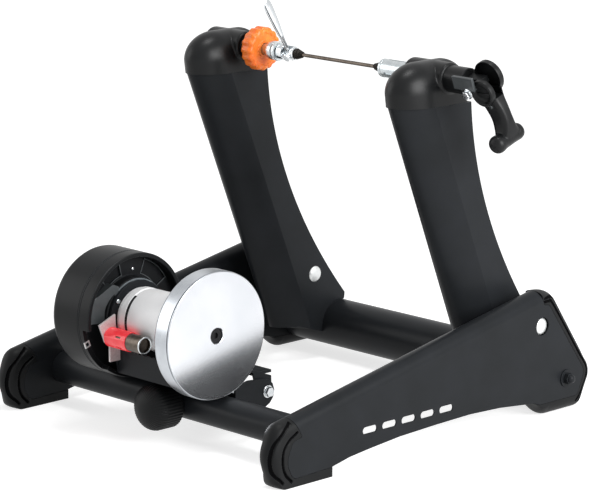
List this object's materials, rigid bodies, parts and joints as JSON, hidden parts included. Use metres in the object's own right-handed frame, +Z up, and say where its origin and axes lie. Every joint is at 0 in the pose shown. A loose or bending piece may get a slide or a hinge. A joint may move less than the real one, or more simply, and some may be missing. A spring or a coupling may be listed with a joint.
{
  "type": "wheel-on bicycle trainer",
  "caption": "Folding stand that clamps a bicycle's rear axle between two uprights and presses a braked roller with a flywheel against the tyre.",
  "frame": {"origin": "on the floor, below the middle of the bounding box", "axes": "+X across to the flywheel and cam lever side, +Y forward to the pivot bar, +Z up"},
  "size_m": [0.5662, 0.5745, 0.5139],
  "materials": {
    "satin_black_steel": "satin black powder coat",
    "black_plastic": "fine matte",
    "drum_black": "matte black",
    "zinc_steel": "zinc plated",
    "chrome_steel": "turned and polished",
    "roller_alloy": "fine turned",
    "orange_plastic": "moulded",
    "red_plastic": "translucent sleeve",
    "rod_steel": "drawn",
    "button_silver": "satin",
    "black_rubber": "matte"
  },
  "bodies": {
    "base": {"side_member_left": "satin_black_steel", "side_member_right": "satin_black_steel", "rear_foot_cap_left": "black_plastic", "rear_foot_cap_right": "black_plastic", "front_foot_cap_left": "black_plastic", "front_foot_cap_right": "black_plastic", "rear_cross_bar": "satin_black_steel", "pivot_rod": "zinc_steel", "pivot_washer_left": "satin_black_steel", "pivot_washer_right": "satin_black_steel", "pivot_nut_left": "satin_black_steel", "pivot_nut_right": "satin_black_steel", "unit_bracket": "satin_black_steel", "unit_pivot_bolt": "zinc_steel", "unit_pivot_nut": "zinc_steel"},
    "leg_frame": {"front_cross_bar": "satin_black_steel", "bar_plug_left": "black_plastic", "bar_plug_right": "black_plastic", "upright_left": "satin_black_steel", "upright_right": "satin_black_steel", "elbow_cap_left": "black_plastic", "elbow_cap_right": "black_plastic", "skewer_rod": "rod_steel", "skewer_head": "zinc_steel", "skewer_nut": "zinc_steel", "skewer_spring_left": "rod_steel", "skewer_spring_right": "rod_steel"},
    "lock_button_left": {"lock_button_left": "button_silver"},
    "lock_button_right": {"lock_button_right": "button_silver"},
    "lock_pin_left": {"lock_pin_left": "button_silver"},
    "lock_pin_right": {"lock_pin_right": "button_silver"},
    "adjuster": {"adjuster_knob": "orange_plastic"},
    "left_cup": {"spindle_cup": "zinc_steel"},
    "push_rod": {"push_rod_cup": "zinc_steel", "lever_clevis": "zinc_steel", "lever_pin": "zinc_steel"},
    "cam_lever": {"cam_lever": "black_plastic"},
    "skewer_lever": {"skewer_lever": "zinc_steel"},
    "unit": {"unit_frame": "satin_black_steel", "rest_block": "black_rubber", "drum_cover": "drum_black", "drum_housing": "drum_black", "drum_bearing": "zinc_steel", "sleeve_tube": "zinc_steel", "red_sleeve": "red_plastic", "tube_bracket": "zinc_steel", "housing_screw_1": "zinc_steel", "housing_screw_2": "zinc_steel", "housing_screw_3": "zinc_steel"},
    "spin": {"drive_shaft": "zinc_steel", "brake_rotor": "roller_alloy", "roller": "roller_alloy", "flywheel": "chrome_steel", "flywheel_bolt": "black_plastic"},
    "press_nut": {"press_nut": "zinc_steel"},
    "press_knob": {"press_knob": "black_plastic", "press_screw": "zinc_steel"}
  },
  "joints": [
    {"name": "leg_fold", "type": "hinge", "parent": "base", "child": "leg_frame", "pos_m": [-0.01385, 0.23555, 0.0433], "axis": [1, 0, 0], "range_deg": [0, 26]},
    {"name": "lock_button_left_push", "type": "slide", "parent": "base", "child": "lock_button_left", "axis": [1, 0, 0], "range_m": [0, 0.0142]},
    {"name": "lock_button_right_push", "type": "slide", "parent": "base", "child": "lock_button_right", "axis": [-1, 0, 0], "range_m": [0, 0.0142]},
    {"name": "lock_pin_left_slide", "type": "slide", "parent": "leg_frame", "child": "lock_pin_left", "axis": [1, 0, 0], "range_m": [0, 0.014], "stiffness_N_per_m": 500, "springref_m": -0.012},
    {"name": "lock_pin_right_slide", "type": "slide", "parent": "leg_frame", "child": "lock_pin_right", "axis": [-1, 0, 0], "range_m": [0, 0.014], "stiffness_N_per_m": 500, "springref_m": -0.012},
    {"name": "adjuster_turn", "type": "hinge", "parent": "leg_frame", "child": "adjuster", "pos_m": [-0.13385, 0.06355, 0.441], "axis": [1, 0, 0], "range_deg": [0, 1800]},
    {"name": "left_cup_slide", "type": "slide", "parent": "leg_frame", "child": "left_cup", "axis": [-1, 0, 0], "range_m": [0, 0.0101]},
    {"name": "push_rod_slide", "type": "slide", "parent": "leg_frame", "child": "push_rod", "axis": [1, 0, 0], "range_m": [0, 0.0081]},
    {"name": "cam_lever_turn", "type": "hinge", "parent": "push_rod", "child": "cam_lever", "pos_m": [0.24815, 0.06355, 0.441], "axis": [0, -0.9397, -0.342], "range_deg": [0, 95]},
    {"name": "skewer_lever_turn", "type": "hinge", "parent": "leg_frame", "child": "skewer_lever", "pos_m": [-0.07935, 0.06355, 0.441], "axis": [0, -0.866, -0.5], "range_deg": [0, 20]},
    {"name": "unit_tilt", "type": "hinge", "parent": "base", "child": "unit", "pos_m": [-0.01385, -0.11345, 0.056], "axis": [-1, 0, 0], "range_deg": [0, 12]},
    {"name": "flywheel_spin", "type": "hinge", "parent": "unit", "child": "spin", "pos_m": [-0.01385, -0.20845, 0.145], "axis": [1, 0, 0], "continuous": true},
    {"name": "press_nut_slide", "type": "slide", "parent": "base", "child": "press_nut", "axis": [0, -1, 0], "range_m": [0, 0.00265]},
    {"name": "press_knob_turn", "type": "hinge", "parent": "base", "child": "press_knob", "pos_m": [-0.01385, -0.20845, 0.0437], "axis": [0, 1, 0], "range_deg": [0, 640]}
  ],
  "couplings": [
    {"joint": "lock_button_left_push", "follows": "lock_pin_left_slide", "ratio": 1},
    {"joint": "lock_button_right_push", "follows": "lock_pin_right_slide", "ratio": 1},
    {"joint": "left_cup_slide", "follows": "adjuster_turn", "m_per_rad": 0.00031831},
    {"joint": "push_rod_slide", "follows": "cam_lever_turn", "m_per_rad": 0.0048249},
    {"joint": "press_nut_slide", "follows": "unit_tilt", "m_per_rad": 0.0123},
    {"joint": "press_knob_turn", "follows": "unit_tilt", "ratio": 51.522}
  ]
}
